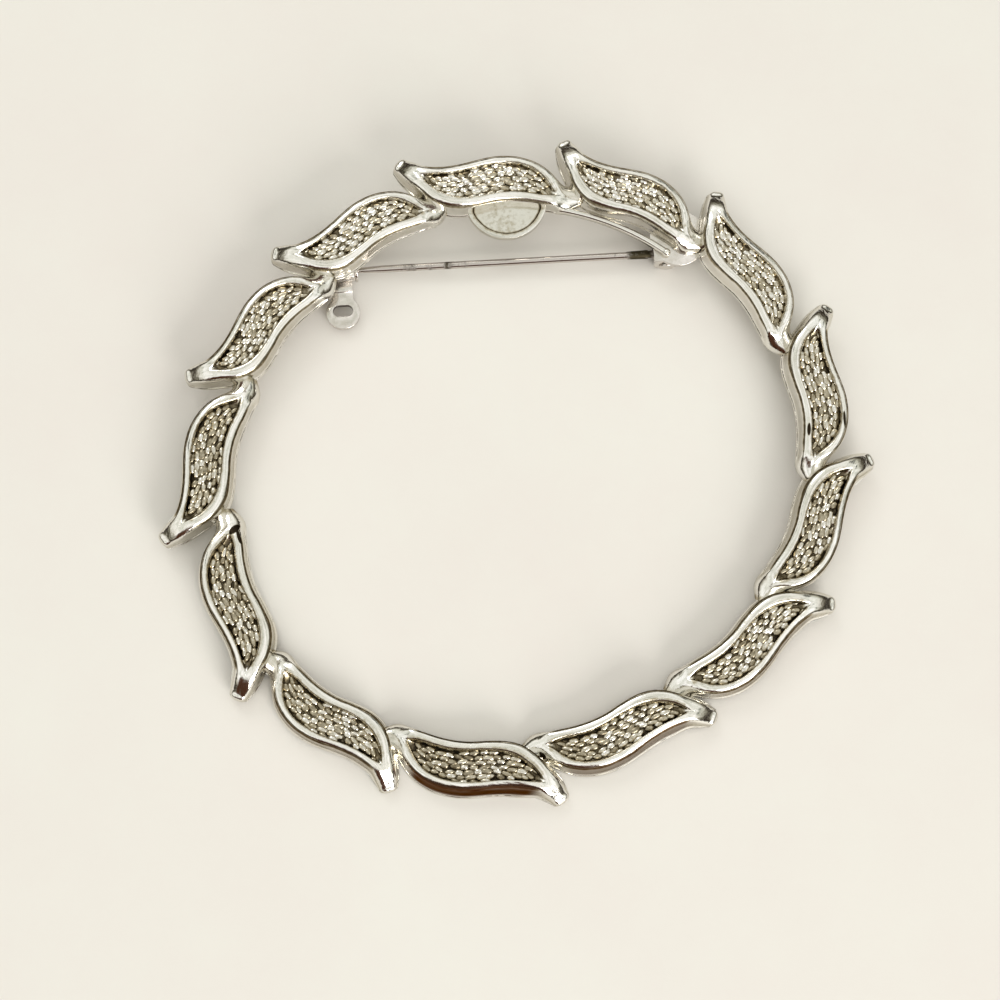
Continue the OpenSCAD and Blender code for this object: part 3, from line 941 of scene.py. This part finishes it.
# The brown attribute paints a reflection of a brown figure in front onto the front leaves' outer
# walls.
colour = blend(tree, attribute(tree, "brown"), shaded, linear("#5e3f2d"))
rough = number(tree, "MULTIPLY_ADD", smear, 0.10, spread(tree, bloom_and_shade, 0.25, 0.95, 0.08, 0.34))
along_leaf = add(tree, "ShaderNodeMapping", {}, {"Vector": straight_spot, "Scale": (0.22, 1, 1)})
pores = relief(tree, noise(tree, spot, 0.14), 0.02, 0.25)
ripples = relief(tree, noise(tree, along_leaf.outputs[0], 0.5), 0.10, 0.4, pores)
coat([casting], plating, {"Metallic": 1.0, "Base Color": colour, "Specular Tint": colour,
                          "Roughness": rough, "Normal": ripples})

# %% [markdown]
# The findings have the same silver tone over brass, but they were barrel-plated and never
# buffed: a little duller, a little yellower where the coat is thin, with a soft haze. The
# same attribute as on the casting colours the walls of the sleeve's window dark brown.

# %% Barrel plating on the findings
barrel, tree = finish_named("barrel_plating_on_brass")
spot = add(tree, "ShaderNodeTexCoord").outputs["Object"]
haze = noise(tree, spot, 0.8, 4.0, 0.6)
plate = blend(tree, haze, linear("#eeebe7"), linear("#c3bbb0"))
colour = blend(tree, attribute(tree, "hollow"), plate, linear("#4a3426"))
rough = spread(tree, haze, 0.3, 0.75, 0.12, 0.30, "LINEAR")
pits = relief(tree, noise(tree, spot, 0.12), 0.02, 0.3)
coat([bracket, rivet, housing, sleeve], barrel,
     {"Metallic": 1.0, "Base Color": colour, "Roughness": rough, "Normal": pits})

# %% [markdown]
# The pin is drawn steel wire. Drawing leaves fine lines along it, so a Mapping node turns
# the pattern to the wire's direction and stretches it. Tarnish sits where the photograph
# shows it: a brown collar by the hinge and olive specks near the catch. The table holds the
# distance from the rivet and how much of the wire is stained there.

# %% Drawn wire with tarnish
PIN_LENGTH = 27
TARNISH = [
    (0, 0.1), (0.9, 0.2), (1.3, 0.8), (2.5, 0.8), (3.4, 0.1),
    (14.8, 0.1), (15.6, 0.3), (16.3, 0.15), (17.0, 0.55), (17.7, 0.1),
    (18.5, 0.4), (19.1, 0.1), (19.8, 0.45), (20.6, 0.1), (27, 0.1),
]
along_pin = PIN_FRAME.to_3x3() @ Vector((1, 0, 0))
wire, tree = finish_named("drawn_steel_wire_with_tarnish")
spot = add(tree, "ShaderNodeTexCoord").outputs["Object"]
along = add(tree, "ShaderNodeMapping", {"vector_type": "TEXTURE"},
            {"Vector": spot, "Rotation": (0, 0, PIN_TURN - math.pi), "Scale": (6, 1, 1)})
away = add(tree, "ShaderNodeVectorMath", {"operation": "SUBTRACT"},
           {0: spot, 1: PIN_FRAME.translation})
run = add(tree, "ShaderNodeVectorMath", {"operation": "DOT_PRODUCT"},
          {0: away.outputs[0], 1: along_pin})
share = number(tree, "MULTIPLY", run.outputs["Value"], 1000 / PIN_LENGTH)
greys = [(place / PIN_LENGTH, (amount, amount, amount, 1)) for place, amount in TARNISH]
stains = tones(tree, share, greys)
blotches = number(tree, "MULTIPLY_ADD", noise(tree, spot, 0.45, 4.0, 0.8), 1.4, -0.70)
tarnish = spread(tree, number(tree, "ADD", stains, blotches), 0.15, 0.75)
colour = blend(tree, tarnish, linear("#c9c2bc"), linear("#433d2e"))
rough = number(tree, "MULTIPLY_ADD", tarnish, 0.3, 0.16)
lines = relief(tree, noise(tree, along.outputs[0], 0.12, 3.0), 0.01, 0.3)
coat([stem], wire, {"Metallic": 1.0, "Base Color": colour, "Roughness": rough, "Normal": lines})

# %% [markdown]
# ## The table and the light
#
# Polished metal shows its surroundings more than itself. The pale ceiling turns the rims
# white, the table fills the outer walls, the dim band round the horizon draws the thin dark
# lines between them, and somebody in brown who leans in from the front darkens the walls
# that face there. A low, broad window at the front right lights the table, so that the
# walls throw a soft shadow inward there and to the upper left.

# %% Table
bpy.ops.object.select_all(action="DESELECT")
bpy.ops.mesh.primitive_plane_add(size=1.6)
table = made("table")
table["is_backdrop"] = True
paper, tree = finish_named("pale_table_top")
spot = add(tree, "ShaderNodeTexCoord").outputs["Object"]
sheet = blend(tree, noise(tree, spot, 30, 7.0, 0.7), linear("#e2e2da"), linear("#dcd3ce"))
tooth = relief(tree, noise(tree, spot, 1.2, 5.0, 0.7), 0.05, 0.3)
coat([table], paper, {"Base Color": sheet, "Roughness": 0.6, "Normal": tooth})

# %% Lamps
def soft_lamp(name, place, size, power, colour):
    """A square lamp that points at the brooch."""
    lamp = bpy.data.lights.new(name, "AREA")
    lamp.size = size
    lamp.energy = power
    lamp.color = colour[:3]
    obj = bpy.data.objects.new(name, lamp)
    obj.location = place
    obj.rotation_euler = (-Vector(place)).to_track_quat("-Z", "Y").to_euler()
    scene.collection.objects.link(obj)


soft_lamp("window", (0.42, -0.74, 0.43), 0.48, 6.6, linear("#fffefb"))
soft_lamp("lamp", (-0.22, 0.40, 0.46), 0.20, 0.45, WHITE)

# %% [markdown]
# The room is a background of bands from the horizon up to the ceiling. The person's brown
# lies round one direction, and a soft noise stands for the clutter of a real room.

# %% Room
ROOM_BANDS = [(0.0, "#28211b"), (0.18, "#38312a"), (0.32, "#8b8679"),
              (0.44, "#e6e4de"), (0.62, "#ffffff"), (1.0, "#f2f1ef")]
CLUTTER_TONES = [(0.30, "#2a2a2a"), (0.38, "#d0d2c8"), (0.62, "#ffffff")]
TO_PERSON = (-0.12, -0.92, 0.37)
room = bpy.data.worlds.new("room")
scene.world = room
room.use_nodes = True
tree = room.node_tree
tree.nodes.clear()
where = add(tree, "ShaderNodeTexCoord").outputs["Generated"]
height = add(tree, "ShaderNodeSeparateXYZ", {}, {"Vector": where}).outputs["Z"]
bands = tones(tree, height, [(place, linear(code)) for place, code in ROOM_BANDS])
person = add(tree, "ShaderNodeVectorMath", {"operation": "DOT_PRODUCT"}, {0: where, 1: TO_PERSON})
seen = blend(tree, spread(tree, person.outputs["Value"], 0.87, 0.94), bands, linear("#4a2c1c"))
clutter = add(tree, "ShaderNodeTexNoise", {}, {"Vector": where, "Scale": 2.6}).outputs["Fac"]
patches = tones(tree, clutter, [(place, linear(code)) for place, code in CLUTTER_TONES])
mixed = blend(tree, 1.0, seen, patches, "MULTIPLY")
glow = add(tree, "ShaderNodeBackground", {}, {"Color": mixed, "Strength": 1.32})
add(tree, "ShaderNodeOutputWorld", {}, {"Surface": glow.outputs[0]})
scene.view_settings.view_transform = "Standard"
print("the room has", len(tree.nodes), "nodes")

# %% [markdown]
# The last cell writes the box of the solids and the box of the dressed brooch side by side,
# so that the two can be compared, and hands the scene over.

# %% Measure and finish
dressed_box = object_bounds()
for name, box in (("solids", cad_box), ("dressed", dressed_box)):
    print(name, [[round(c * 1000, 2) for c in corner] for corner in box])
